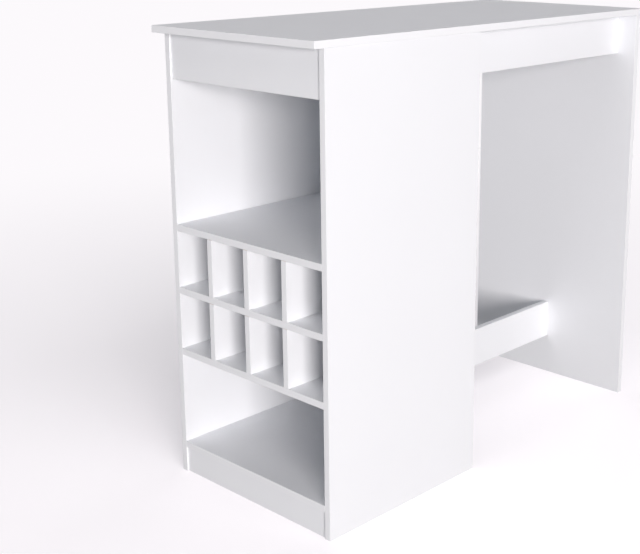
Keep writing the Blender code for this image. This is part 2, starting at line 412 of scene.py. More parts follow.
@dataclass(frozen=True)
class BareMetal(Finish):
    """Bare fastener metal with a cloudy lustre and a slightly pitted skin."""

    bright: Colour
    dull: Colour
    smoothest: float
    roughest: float
    pit_size: float
    pit_height: float
    cloud_size: float = 0.004

    def paint(self, graph: Graph) -> Field:
        """Paint the metal.

        Args:
            graph: Graph of the material.

        Returns:
            Shader of the metal.
        """
        place = graph.place()
        clouds = graph.noise(place, self.cloud_size, detail=4.0)
        pits = graph.noise(place, self.pit_size)
        return graph.principled({
            "Base Color": graph.blend(clouds, self.dull, self.bright),
            "Metallic": 1.0,
            "Roughness": self.smoothest + (self.roughest - self.smoothest) * clouds,
            "Normal": graph.bump(pits, self.pit_height),
        })


@dataclass(frozen=True)
class DowelBeech(Finish):
    """Beech with its grain along the dowels, which all lie from front to rear."""

    dark: Colour = (0.42, 0.25, 0.13)
    pale: Colour = (0.66, 0.46, 0.28)
    grain_width: float = 0.0006
    grain_length: float = 0.02
    grain_height: float = 0.0001
    roughness: float = 0.6

    def paint(self, graph: Graph) -> Field:
        """Paint the wood.

        Args:
            graph: Graph of the material.

        Returns:
            Shader of the wood.
        """
        stretch = (1.0 / self.grain_width, 1.0 / self.grain_length, 1.0 / self.grain_width)
        grain = graph.noise(graph.place() * stretch, 1.0, detail=3.0)
        return graph.principled({
            "Base Color": graph.blend(grain, self.dark, self.pale),
            "Roughness": self.roughness,
            "Normal": graph.bump(grain, self.grain_height),
        })


@dataclass(frozen=True)
class PaleFloor(Finish):
    """Studio floor: the camera sees it near white with the table's shadow, and plain white far away."""

    bounce_colour: Colour = (0.17, 0.17, 0.17)      # its colour for the light that it throws back
    seen_colour: Colour = (0.75, 0.73, 0.75)
    lift: Colour = (0.250, 0.243, 0.252)            # brightness that the shadow never goes below
    white: Colour = BACKDROP_WHITE
    fade_end: float = 3.8                           # metres from the table's middle to plain white

    def paint(self, graph: Graph) -> Field:
        """Paint the floor.

        Args:
            graph: Graph of the material.

        Returns:
            Shader of the floor.
        """
        share = (graph.place().length() / self.fade_end).between(0.0, 1.0)
        fade = share * share * (3 - 2 * share)      # eased at both ends
        bounce = graph.node("ShaderNodeBsdfDiffuse", sockets={"Color": self.bounce_colour})
        shadowed = graph.node("ShaderNodeBsdfDiffuse", sockets={"Color": self.seen_colour})
        lift = graph.node("ShaderNodeEmission", sockets={"Color": self.lift})
        near = graph.node("ShaderNodeAddShader", sockets={0: shadowed, 1: lift})
        far = graph.node("ShaderNodeEmission", sockets={"Color": self.white})
        seen = graph.node("ShaderNodeMixShader", sockets={"Fac": fade, 1: near, 2: far})
        return graph.node("ShaderNodeMixShader", sockets={"Fac": graph.seen_rays(), 1: bounce, 2: seen})


FACE_SHEET = WhiteSheet(
    "white_melamine", (0.866, 0.882, 0.910), smoothest=0.38, roughest=0.52, grain_height=0.00003,
)
EDGE_BAND = WhiteSheet(
    "white_edge_band", (0.876, 0.890, 0.916), smoothest=0.28, roughest=0.40, grain_height=0.00001,
)
GLUE_LINE = GlueLine("band_glue_line")
CHIPBOARD = Chipboard("raw_chipboard")
CAST_ZINC = BareMetal(
    "cast_zinc", (0.66, 0.66, 0.68), (0.50, 0.50, 0.53),
    smoothest=0.32, roughest=0.52, pit_size=0.0004, pit_height=0.00004,
)
PLATED_STEEL = BareMetal(
    "plated_steel", (0.62, 0.62, 0.63), (0.48, 0.48, 0.50),
    smoothest=0.22, roughest=0.38, pit_size=0.0003, pit_height=0.00001,
)
DOWEL_BEECH = DowelBeech("fluted_beech")
PALE_FLOOR = PaleFloor("pale_floor")


class Side(Enum):
    """A side of a board: the axis that it faces along, and which way."""

    LEFT = (0, -1)
    RIGHT = (0, 1)
    FRONT = (1, -1)
    REAR = (1, 1)
    BOTTOM = (2, -1)
    TOP = (2, 1)


class FastenerKind(Enum):
    """The kinds of fastener, by the ending of their nodes' names."""

    CAM_LOCK = "_cam_lock"
    CAM_BOLT = "_cam_bolt"
    DOWEL = "_dowel"


@dataclass(frozen=True)
class Box:
    """An upright box between two corners."""

    low: Vector
    high: Vector

    @property
    def size(self) -> Vector:
        """Length of its sides."""
        return self.high - self.low

    @property
    def middle(self) -> Vector:
        """Its middle point."""
        return (self.low + self.high) / 2

    def meets(self, other: "Box") -> bool:
        """Whether two boxes reach into each other by more than a clearance."""
        overlap = [min(self.high[i], other.high[i]) - max(self.low[i], other.low[i]) for i in range(3)]
        return min(overlap) > CLEARANCE


@dataclass(frozen=True)
class Cutter:
    """A shape that is taken out of a board: a round one lies along a direction, a square one has none."""

    middle: Vector
    reach: Vector           # its sides, the third of which is the length of a round one
    along: Vector

    @classmethod
    def square(cls, low: Sequence[float], high: Sequence[float]) -> "Cutter":
        """Square cutter between two corners."""
        box = Box(Vector(low), Vector(high))
        return cls(box.middle, box.size, Vector())

    @classmethod
    def round(cls, start: Vector, end: Vector, diameter: float) -> "Cutter":
        """Round cutter between two points."""
        length = (end - start).length
        return cls((start + end) / 2, Vector((diameter, diameter, length)), (end - start).normalized())


@cache
def solid_box(node: str) -> Box:
    """Box of a solid, which is measured once because no solid moves."""
    return Box(*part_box(node))


@dataclass(frozen=True)
class Solid:
    """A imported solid."""

    node: str

    @property
    def box(self) -> Box:
        """The box that it fills."""
        return solid_box(self.node)


@dataclass(frozen=True)
class Board(Solid):
    """A board, with the sides that carry an edge band."""

    banded: tuple[Side, ...] = ()

    @property
    def face_axis(self) -> int:
        """The axis across its thickness."""
        size = self.box.size
        return min(range(3), key=lambda axis: size[axis])

    def bands(self, way: int) -> Triple:
        """One for each axis that has a band on its low side (-1) or its high side (1)."""
        return tuple(float(any(side.value == (axis, way) for side in self.banded)) for axis in range(3))


@dataclass(frozen=True)
class Fastener(Solid):
    """A turned fastener."""

    kind: FastenerKind

    @property
    def axis(self) -> int:
        """The axis that it is turned about: a cam is shortest along it, a pin longest."""
        choose = min if self.kind is FastenerKind.CAM_LOCK else max
        return choose(range(3), key=lambda axis: self.box.size[axis])

    @property
    def diameter(self) -> float:
        """Its widest diameter."""
        size = self.box.size
        return max(size[axis] for axis in range(3) if axis != self.axis)

    @property
    def length(self) -> float:
        """Its length along the axis."""
        return self.box.size[self.axis]

    def partner(self, kind: FastenerKind) -> "Fastener":
        """The other fastener of the same joint."""
        return Fastener(self.node.removesuffix(self.kind.value) + kind.value, kind)

    def direction(self, towards: Vector) -> Vector:
        """Find which way its axis points.

        Args:
            towards: Point on the side that is asked for.

        Returns:
            Direction of the axis, on the side of the point.
        """
        way = Vector()
        way[self.axis] = math.copysign(1.0, towards[self.axis] - self.box.middle[self.axis])
        return way

    def cutter(self, opening: Vector | None) -> Cutter:
        """The drilling that it sits in.

        Args:
            opening: Direction in which the drilling opens to a face, or None for one inside the boards.

        Returns:
            A round cutter with clearance, which runs through the face that it opens to.
        """
        middle = self.box.middle
        way = opening if opening else self.direction(middle)
        past = THROUGH if opening else CLEARANCE
        start = middle - way * (self.length / 2 + CLEARANCE)
        end = middle + way * (self.length / 2 + past)
        return Cutter.round(start, end, self.diameter + 2 * CLEARANCE)


def fasteners(kind: FastenerKind) -> list[Fastener]:
    """All fasteners of one kind, in the order of their names."""
    return [Fastener(node, kind) for node in sorted(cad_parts) if node.endswith(kind.value)]


def cam_opening(cam: Fastener, boards: Iterable[Board]) -> Vector:
    """Find the way out of a cam's pocket.

    Args:
        cam: Cam lock.
        boards: All boards of the table.

    Returns:
        Direction of the board face that the cam is flush with.
    """
    host = next(board for board in boards if board.face_axis == cam.axis and board.box.meets(cam.box))
    above = host.box.high[cam.axis] - cam.box.high[cam.axis]
    below = cam.box.low[cam.axis] - host.box.low[cam.axis]
    return cam.direction(host.box.high if above < below else host.box.low)


def drillings(boards: Sequence[Board]) -> dict[str, list[Cutter]]:
    """Find the drillings of each board from the fasteners that reach into it.

    Args:
        boards: All boards of the table.

    Returns:
        Round cutters by the boards' names.
    """
    pins = [*fasteners(FastenerKind.CAM_BOLT), *fasteners(FastenerKind.DOWEL)]
    drills = [(pin.box, pin.cutter(None)) for pin in pins]
    drills += [(cam.box, cam.cutter(cam_opening(cam, boards))) for cam in fasteners(FastenerKind.CAM_LOCK)]
    return {board.node: [cutter for box, cutter in drills if box.meets(board.box)] for board in boards}


def point_mesh(
    name: str,
    places: Sequence[Vector],
    vectors: Mapping[str, Sequence[Vector]],
) -> bpy.types.Mesh:
    """Make a mesh of loose points for a node tree.

    Args:
        name: Name of the mesh.
        places: The points.
        vectors: Vector attributes by name, with a value for each point.

    Returns:
        The mesh.
    """
    mesh = bpy.data.meshes.new(name)
    mesh.from_pydata([tuple(place) for place in places], [], [])
    for label, values in vectors.items():
        attribute = mesh.attributes.new(label, "FLOAT_VECTOR", "POINT")
        for item, value in zip(attribute.data, values):
            item.vector = value
    return mesh


def settle(piece: bpy.types.Object, slot: str, nodes: Sequence[str]) -> None:
    """Let a piece stand for solids, and report it.

    Args:
        piece: The new piece.
        slot: Material slot of the record. It is not used.
        nodes: Solids that it stands for.
    """
    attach(piece, BODY)
    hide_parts(*nodes)
    LOG.info("%s: %d faces, for %d solids", piece.name, len(piece.data.polygons), len(nodes))


class ShapeGraph(Graph):
    """A geometry tree with named inputs, which turns points into a finished mesh."""

    END_ZONE = 0.4          # share of a pin's length from its middle, past which its ends begin
    PIN_SEGMENTS = 3        # along a pin, so that two rings between its ends become shoulders

    def __init__(self, name: str, lengths: Iterable[str], vectors: Iterable[str] = ()) -> None:
        """Start a tree.

        Args:
            name: Name of the tree.
            lengths: Names of its inputs that are numbers.
            vectors: Names of its inputs that are vectors.
        """
        super().__init__(bpy.data.node_groups.new(name, "GeometryNodeTree"))
        inputs = {
            "Points": "NodeSocketGeometry",
            **dict.fromkeys(lengths, "NodeSocketFloat"),
            **dict.fromkeys(vectors, "NodeSocketVector"),
        }
        for label, kind in inputs.items():
            self.tree.interface.new_socket(label, in_out="INPUT", socket_type=kind)
        self.tree.interface.new_socket("Geometry", in_out="OUTPUT", socket_type="NodeSocketGeometry")
        self.source = self.tree.nodes.new("NodeGroupInput")

    def input(self, label: str) -> Field:
        """Field of a named input."""
        return Field(self, self.source.outputs[label])

    def attribute(self, label: str) -> Field:
        """Field of a vector attribute of the points."""
        settings = {"data_type": "FLOAT_VECTOR"}
        return self.node("GeometryNodeInputNamedAttribute", settings, {"Name": label}, "Attribute")

    def position(self) -> Field:
        """Field of the place of each point or face."""
        return self.node("GeometryNodeInputPosition")

    def moved(self, shape: Field, position: Field) -> Field:
        """The shape with its points at other places."""
        return self.node("GeometryNodeSetPosition", sockets={"Geometry": shape, "Position": position})

    def shifted(self, shape: Field, offset: Field, turn: Triple = (0.0, 0.0, 0.0)) -> Field:
        """The shape, turned by three angles and then shifted."""
        sockets = {"Geometry": shape, "Translation": offset, "Rotation": turn}
        return self.node("GeometryNodeTransform", sockets=sockets)

    def vector(self, x: Operand, y: Operand, z: Operand) -> Field:
        """Vector of three fields or numbers."""
        return self.node("ShaderNodeCombineXYZ", sockets={"X": x, "Y": y, "Z": z})

    def cuboid(self, size: Field | Triple) -> Field:
        """A plain box round the origin."""
        return self.node("GeometryNodeMeshCube", sockets={"Size": size})

    def cylinder(self, radius: Operand, length: Operand, sides: int, segments: int = 1) -> Field:
        """A cylinder round the origin, along Z, with flat ends."""
        sockets = {"Vertices": sides, "Side Segments": segments, "Radius": radius, "Depth": length}
        return self.node("GeometryNodeMeshCylinder", {"fill_type": "NGON"}, sockets)

    def turned_pin(self, radius: Field, length: Field, chamfer: Field, sides: int) -> Field:
        """Make a cylinder with chamfered ends.

        Args:
            radius: Radius of the cylinder.
            length: Length along Z.
            chamfer: Width of the chamfer at both ends.
            sides: Number of sides.

        Returns:
            The shape, round the origin.
        """
        x, y, z = self.position().parts()
        is_end = (abs(z) - length * self.END_ZONE).mask()
        narrowed = 1 - is_end * chamfer / radius
        shoulder = z.sign() * (length / 2 - chamfer)
        level = is_end * z + (1 - is_end) * shoulder
        blank = self.cylinder(radius, length, sides, self.PIN_SEGMENTS)
        return self.moved(blank, self.vector(x * narrowed, y * narrowed, level))

    def cut(self, shape: Field, *cutters: Field) -> Field:
        """Take cutters out of a shape, one after the other.

        Args:
            shape: The shape.
            cutters: What is taken out of it.

        Returns:
            The shape without the cutters.
        """
        settings = {"operation": "DIFFERENCE", "solver": "EXACT"}
        for cutter in cutters:
            sockets = {"Mesh 1": shape, "Mesh 2": cutter, "Self Intersection": True}
            shape = self.node("GeometryNodeMeshBoolean", settings, sockets)
        return shape

    def joined(self, *shapes: Field) -> Field:
        """Several shapes made one solid."""
        settings = {"operation": "UNION", "solver": "EXACT"}
        return self.node("GeometryNodeMeshBoolean", settings, {"Mesh": list(shapes)})

    def aligned(self, axis: str, direction: Field, turn: Field | None = None) -> Field:
        """Turn an axis to a direction.

        Args:
            axis: Axis of the shape, X or Z.
            direction: Direction that it is turned to.
            turn: An earlier turn of Z, about which X is then turned.

        Returns:
            Field of the rotation.
        """
        settings = {"axis": axis, "pivot_axis": "Z" if turn else "AUTO"}
        sockets = {"Vector": direction, **({"Rotation": turn} if turn else {})}
        return self.node("FunctionNodeAlignRotationToVector", settings, sockets)

    def instances(self, shape: Field, **choices: Field) -> Field:
        """Put a shape on each of the tree's points.

        Args:
            shape: The shape.
            choices: Fields for the selection, rotation and scale, where they are needed.

        Returns:
            The instances.
        """
        sockets = {"Points": self.input("Points"), "Instance": shape}
        sockets.update({label.capitalize(): field for label, field in choices.items()})
        return self.node("GeometryNodeInstanceOnPoints", sockets=sockets)

    def realized(self, shape: Field) -> Field:
        """The shape with its instances made real."""
        return self.node("GeometryNodeRealizeInstances", sockets={"Geometry": shape})

    def covered(self, shape: Field, material: bpy.types.Material, mask: Field | None = None) -> Field:
        """The shape with a material on all its faces, or on those in a mask."""
        sockets = {"Geometry": shape, "Material": material, **({"Selection": mask} if mask else {})}
        return self.node("GeometryNodeSetMaterial", sockets=sockets)

    def finish(self, shape: Field, dressings: Iterable[tuple[Finish, Field | None]]) -> None:
        """End the tree: instances are made real, and materials are set one over the other.

        Args:
            shape: The whole shape.
            dressings: Finishes in order, each with a mask of its faces, or None for all faces.
        """
        shape = self.realized(shape)
        for finish, mask in dressings:
            shape = self.covered(shape, finish.material(), mask)
        self.node("NodeGroupOutput", sockets={"Geometry": shape})

    def make(self, name: str, points: bpy.types.Mesh, values: Mapping[str, object]) -> bpy.types.Object:
        """Run the tree once and keep its result as a plain mesh.

        Args:
            name: Name of the new piece.
            points: Points that the tree reads.
            values: Values of the tree's inputs by name.

        Returns:
            The new piece, without a modifier.
        """
        piece = bpy.data.objects.new(name, points)
        bpy.context.scene.collection.objects.link(piece)
        modifier = piece.modifiers.new(self.tree.name, "NODES")
        modifier.node_group = self.tree
        for socket in self.tree.interface.items_tree:
            if socket.in_out == "INPUT" and socket.name in values:
                modifier[socket.identifier] = values[socket.name]
        evaluated = piece.evaluated_get(bpy.context.evaluated_depsgraph_get())
        mesh = bpy.data.meshes.new_from_object(evaluated)
        piece.modifiers.remove(modifier)
        piece.data = mesh
        mesh.name = name
        self._tidy(mesh)
        return piece

    @staticmethod
    def _tidy(mesh: bpy.types.Mesh) -> None:
        """Smooth a mesh between its sharp edges, and drop the slots and vectors that it no longer needs.

        Args:
            mesh: Mesh that a tree has made.
        """
        mesh.shade_smooth()
        mesh.set_sharp_from_angle(angle=SMOOTH_ANGLE)
        used = {face.material_index for face in mesh.polygons}
        for index in reversed(range(len(mesh.materials))):
            if index not in used:
                mesh.materials.pop(index=index)
        for label in POINT_VECTORS:
            if label in mesh.attributes:
                mesh.attributes.remove(mesh.attributes[label])


class BoardShape(ShapeGraph):
    """Tree of a board: a box with rounded edges, less its drillings and grooves, with bands on its edges."""

    RINGS = 5               # rings of points from the seam to the rim of each side
    FACE_SLOPE = 0.3        # least part of a face's normal along the board's thickness
    DRILL_SIDES = 32

    def __init__(self) -> None:
        """Build the tree."""
        lengths = ("Edge Radius", "Band Thickness", "Seam Width")
        vectors = ("Middle", "Half Size", "Face Axis", "Low Bands", "High Bands")
        super().__init__("edge_banded_board", lengths, vectors)
        raw = CHIPBOARD.material()
        board = self.cut(self.covered(self._blank(), raw), self.covered(self._cutters(), raw))
        self.finish(board, self._dressings())

    def _blank(self) -> Field:
        """Make the box, with rings of points where seam, band and rounding begin.

        Returns:
            The box in its place.
        """
        half = self.input("Half Size")
        radius = self.input("Edge Radius")
        band = self.input("Band Thickness")
        count = 2 * self.RINGS
        counts = {f"Vertices {axis}": count for axis in "XYZ"}
        blank = self.node("GeometryNodeMeshCube", sockets={"Size": 1.0, **counts})
        place = self.position()
        ring = abs(place) * (count - 1.0) - 0.5     # 0 at the innermost points, RINGS - 1 at the rim
        inset = self.input("Seam Width") * (1 - ring).between(0.0, 1.0)
        for number, step in ((2, band - radius), (3, radius / 2), (4, radius / 2)):
            inset = inset + step * (number - ring).between(0.0, 1.0)
        flat = place.sign() * (half - inset)
        inner = half - radius
        core = flat.between(-inner, inner)
        rounded = core + (flat - core).normalized() * radius
        return self.moved(blank, self.input("Middle") + rounded)

    def _cutters(self) -> Field:
        """Make the round and square cutters on the tree's points, which scale a shape of size one.

        Returns:
            All cutters as one mesh.
        """
        along = self.attribute("along")
        reach = self.attribute("reach")
        is_round = along.length()
        drills = self.instances(
            self.cylinder(0.5, 1.0, self.DRILL_SIDES),
            selection=is_round, rotation=self.aligned("Z", along), scale=reach,
        )
        chisels = self.instances(self.cuboid((1.0, 1.0, 1.0)), selection=1 - is_round, scale=reach)
        return self.realized(self.node("GeometryNodeJoinGeometry", sockets={"Geometry": [drills, chisels]}))

    def _near_band(self, limit: Operand) -> Field:
        """Find what lies close to a banded side.

        Args:
            limit: Distance from the side.

        Returns:
            Mask of what is nearer than the limit.
        """
        half = self.input("Half Size")
        place = self.position() - self.input("Middle")
        high = (limit - half + place).mask() * self.input("High Bands")
        low = (limit - half - place).mask() * self.input("Low Bands")
        return (high + low).dot((1.0, 1.0, 1.0))

    def _dressings(self) -> list[tuple[Finish, Field | None]]:
        """Work out which faces of the raw board are covered, and with what.

        Returns:
            Finishes with the masks of their faces, where a later one covers an earlier one.
        """
        axis = self.input("Face Axis")
        place = self.position() - self.input("Middle")
        depth = (self.input("Half Size") - abs(place)).dot(axis)
        slope = abs(self.node("GeometryNodeInputNormal")).dot(axis)
        is_face = (slope - self.FACE_SLOPE).mask() * (self.input("Edge Radius") - depth).mask()
        band = self.input("Band Thickness")
        return [
            (FACE_SHEET, is_face),
            (GLUE_LINE, is_face * self._near_band(band + self.input("Seam Width"))),
            (EDGE_BAND, self._near_band(band)),
        ]


@dataclass(frozen=True)
class SubAssembly:
    """Boards that belong together, and how their edges are worked."""

    edge_radius: float = 0.0004
    band_thickness: float = 0.0010
    seam_width: float = 0.00015

    def boards(self) -> list[Board]:
        """The boards, with their banded sides."""
        raise NotImplementedError

    def grooves(self, board: Board) -> list[Cutter]:
        """Grooves and notches of a board, apart from its drillings."""
        return []

    def build(self, tree: BoardShape, holes: Mapping[str, Sequence[Cutter]]) -> list[bpy.types.Object]:
        """Make the boards.

        Args:
            tree: Node tree of a board.
            holes: Round cutters of each board.

        Returns:
            A new piece for each board.
        """
        pieces = []
        for board in self.boards():
            cutters = [*holes[board.node], *self.grooves(board)]
            pieces.append(self._build_board(tree, board, cutters))
        return pieces

    def _build_board(self, tree: BoardShape, board: Board, cutters: Sequence[Cutter]) -> bpy.types.Object:
        """Make one board.

        Args:
            tree: Node tree of a board.
            board: The board.
            cutters: What is taken out of it.

        Returns:
            The new piece.
        """
        vectors = {
            "along": [cutter.along for cutter in cutters],
            "reach": [cutter.reach for cutter in cutters],
        }
        points = point_mesh(board.node, [cutter.middle for cutter in cutters], vectors)
        return tree.make(f"{board.node}_board", points, {
            "Middle": tuple(board.box.middle),
            "Half Size": tuple(board.box.size / 2),
            "Face Axis": tuple(float(axis == board.face_axis) for axis in range(3)),
            "Low Bands": board.bands(-1),
            "High Bands": board.bands(1),
            "Edge Radius": self.edge_radius,
            "Band Thickness": self.band_thickness,
            "Seam Width": self.seam_width,
        })

    def dress(self, pieces: Sequence[bpy.types.Object]) -> None:
        """Put the boards in the place of their solids, in the same order."""
        for board, piece in zip(self.boards(), pieces):
            settle(piece, "melamine", [board.node])


class TableTop(SubAssembly):
    """The top board, banded all round."""

    def boards(self) -> list[Board]:
        """The one board of the top."""
        return [Board("table_top", (Side.LEFT, Side.RIGHT, Side.FRONT, Side.REAR))]


class Tower(SubAssembly):
    """The tower's walls, header, plinth and lowest shelf."""

    def boards(self) -> list[Board]:
        """The boards round the tower."""
        return [
            Board("tower_front_panel", (Side.LEFT, Side.RIGHT)),
            Board("tower_rear_panel", (Side.LEFT, Side.RIGHT)),
            Board("tower_end_panel"),
            Board("header_rail", (Side.BOTTOM,)),
            Board("plinth"),
            Board("bottom_shelf", (Side.LEFT,)),
        ]


@dataclass(frozen=True)
class BottleRack(SubAssembly):
    """Three shelves, and dividers that stand in stopped grooves between them."""

    groove_stop: float = 0.012      # front edge of a shelf to the start of its grooves
    shelf_names: tuple[str, ...] = ("lower_shelf", "middle_shelf", "upper_shelf")
    row_names: tuple[str, ...] = ("lower", "upper")
    dividers_in_row: int = 3

    def boards(self) -> list[Board]:
        """The shelves and dividers."""
        return [*self._shelves(), *self._dividers()]

    def _shelves(self) -> list[Board]:
        """The shelves, banded at the tower's open end."""
        return [Board(name, (Side.LEFT,)) for name in self.shelf_names]

    def _dividers(self) -> list[Board]:
        """The dividers, banded at the tower's open end."""
        numbers = range(1, self.dividers_in_row + 1)
        return [
            Board(f"{row}_divider_{number}", (Side.LEFT,))
            for row in self.row_names for number in numbers
        ]

    def grooves(self, board: Board) -> list[Cutter]:
        """Find the grooves of a shelf, or the notches of a divider.

        Args:
            board: A shelf or a divider.

        Returns:
            Square cutters.
        """
        is_shelf = board.node in self.shelf_names
        others = [other.box for other in (self._dividers() if is_shelf else self._shelves())]
        cutter = self._groove if is_shelf else self._notch
        return [cutter(board.box, other) for other in others if other.meets(board.box)]

    def _groove(self, shelf: Box, divider: Box) -> Cutter:
        """The stopped groove that a divider stands in.

        Args:
            shelf: Box of the shelf.
            divider: Box of the divider.

        Returns:
            A square cutter.
        """
        is_above = divider.middle.z > shelf.middle.z
        foot = divider.low.z - CLEARANCE if is_above else shelf.low.z - THROUGH
        head = shelf.high.z + THROUGH if is_above else divider.high.z + CLEARANCE
        start = divider.low.x + self.groove_stop - CLEARANCE
        return Cutter.square(
            (start, divider.low.y - CLEARANCE, foot),
            (shelf.high.x + THROUGH, divider.high.y + CLEARANCE, head),
        )

    def _notch(self, divider: Box, shelf: Box) -> Cutter:
        """The notch of a divider in front of a stopped groove.

        Args:
            divider: Box of the divider.
            shelf: Box of the shelf.

        Returns:
            A square cutter.
        """
        is_below = shelf.middle.z < divider.middle.z
        foot = divider.low.z - THROUGH if is_below else shelf.low.z - CLEARANCE
        head = shelf.high.z + CLEARANCE if is_below else divider.high.z + THROUGH
        return Cutter.square(
            (divider.low.x - THROUGH, divider.low.y - THROUGH, foot),
            (divider.low.x + self.groove_stop, divider.high.y + THROUGH, head),
        )


class LegAndRails(SubAssembly):
    """The leg panel and the rails between it and the tower."""

    def boards(self) -> list[Board]:
        """The leg, the aprons and the stretcher."""
        return [
            Board("leg_panel", (Side.FRONT, Side.REAR)),
            Board("front_apron", (Side.BOTTOM,)),
            Board("rear_apron", (Side.BOTTOM,)),
            Board("stretcher", (Side.BOTTOM, Side.TOP)),
        ]


@dataclass(frozen=True)
class Fixings:
    """All fasteners of one kind in the table's boards, which one node tree makes as one piece."""

    kind: ClassVar[FastenerKind]
    piece_name: ClassVar[str]
    slot: ClassVar[str]
    finish: ClassVar[Finish]

    boards: Sequence[Board]

    @property
    def solids(self) -> list[Fastener]:
        """The solids that the piece stands for, which are all alike."""
        return fasteners(self.kind)

    def measures(self) -> dict[str, float]:
        """Values that the tree doesn't take from the fields, by the names of its inputs."""
        return {"Diameter": self.solids[0].diameter, "Length": self.solids[0].length}

    def directions(self) -> dict[str, list[Vector]]:
        """Direction of each fastener's axis, under the name along, and others that it needs."""
        raise NotImplementedError

    def shape(self, tree: ShapeGraph) -> Field:
        """One fastener, round the origin and along Z."""
        raise NotImplementedError

    def turn(self, tree: ShapeGraph) -> Field:
        """Rotation of each fastener."""
        return tree.aligned("Z", tree.attribute("along"))

    def worked_sizes(self) -> dict[str, float]:
        """The lengths among the fields, by the names of the tree's inputs: slot_width is Slot Width."""
        names = [field.name for field in fields(self) if field.type is float]
        return {name.replace("_", " ").title(): getattr(self, name) for name in names}

    def build(self) -> bpy.types.Object:
        """Make all fasteners of the kind.

        Returns:
            The new piece.
        """
        values = {**self.worked_sizes(), **self.measures()}
        tree = ShapeGraph(self.piece_name, values)
        tree.finish(tree.instances(self.shape(tree), rotation=self.turn(tree)), [(self.finish, None)])
        places = [solid.box.middle for solid in self.solids]
        points = point_mesh(f"{self.piece_name}_places", places, self.directions())
        return tree.make(self.piece_name, points, values)

    def dress(self, piece: bpy.types.Object) -> None:
        """Put the fasteners in the place of their solids."""
        settle(piece, self.slot, [solid.node for solid in self.solids])


@dataclass(frozen=True)
class CamLocks(Fixings):
    """Cast cam locks: drums with a dished face, a cross slot, an arrow to the bolt and a bore for it."""

    kind: ClassVar[FastenerKind] = FastenerKind.CAM_LOCK
    piece_name: ClassVar[str] = "cam_locks"
    slot: ClassVar[str] = "cam_zinc"
    finish: ClassVar[Finish] = CAST_ZINC

    chamfer: float = 0.0004
    dish_rim: float = 0.0011
    dish_depth: float = 0.0003
    slot_length: float = 0.0090
    slot_width: float = 0.0016
    slot_depth: float = 0.0018
    arrow_size: float = 0.0009
    arrow_depth: float = 0.0006
    arrow_place: float = 0.0055     # middle of the drum to the middle of the arrow
    bolt_overlap: float = 0.0020    # how far the bolt's head reaches past the middle of the drum
    sides: int = 48
    bore_sides: int = 24
    arrow_sides: int = 3

    def measures(self) -> dict[str, float]:
        """Measure a drum and the bore for its bolt.

        Returns:
            Values of the tree's inputs, as the first cam has them.
        """
        cam = self.solids[0]
        bolt = cam.partner(FastenerKind.CAM_BOLT)
        return {
            **super().measures(),
            "Bore Diameter": bolt.diameter + 2 * CLEARANCE,
            "Bore Rise": (bolt.box.middle - cam.box.middle).dot(cam_opening(cam, self.boards)),
        }

    def directions(self) -> dict[str, list[Vector]]:
        """Way out of each cam's pocket, and the way to its bolt."""
        bolts = [cam.partner(FastenerKind.CAM_BOLT) for cam in self.solids]
        return {
            "along": [cam_opening(cam, self.boards) for cam in self.solids],
            "bolt_way": [-bolt.direction(cam.box.middle) for cam, bolt in zip(self.solids, bolts)],
        }

    def turn(self, tree: ShapeGraph) -> Field:
        """Rotation of each cam: its face to the way out, and then its bore to the bolt."""
        return tree.aligned("X", tree.attribute("bolt_way"), super().turn(tree))

    def shape(self, tree: ShapeGraph) -> Field:
        """One cam lock, with its face on top and its bore along X.

        Args:
            tree: Tree of the cam locks.

        Returns:
            The drum, less its dish, slots, arrow and bore.
        """
        radius = tree.input("Diameter") / 2
        face = tree.input("Length") / 2
        drum = tree.turned_pin(radius, tree.input("Length"), tree.input("Chamfer"), self.sides)
        dish = tree.cylinder(radius - tree.input("Dish Rim"), tree.input("Dish Depth") * 2, self.sides)
        length, width, depth = (tree.input(f"Slot {side}") for side in ("Length", "Width", "Depth"))
        slots = [tree.cuboid(tree.vector(*sides, depth * 2)) for sides in ((length, width), (width, length))]
        arrow = tree.cylinder(tree.input("Arrow Size"), tree.input("Arrow Depth") * 2, self.arrow_sides)
        arrow_place = tree.vector(tree.input("Arrow Place"), 0.0, face)
        bore = tree.cylinder(tree.input("Bore Diameter") / 2, radius * 2, self.bore_sides)
        bore_start = tree.input("Bolt Overlap") + CLEARANCE
        bore_place = tree.vector(radius - bore_start, 0.0, tree.input("Bore Rise"))
        cutters = [tree.shifted(shape, tree.vector(0.0, 0.0, face)) for shape in (dish, *slots)]
        cutters.append(tree.shifted(arrow, arrow_place))
        cutters.append(tree.shifted(bore, bore_place, turn=(0.0, QUARTER_TURN, 0.0)))
        return tree.cut(drum, *cutters)


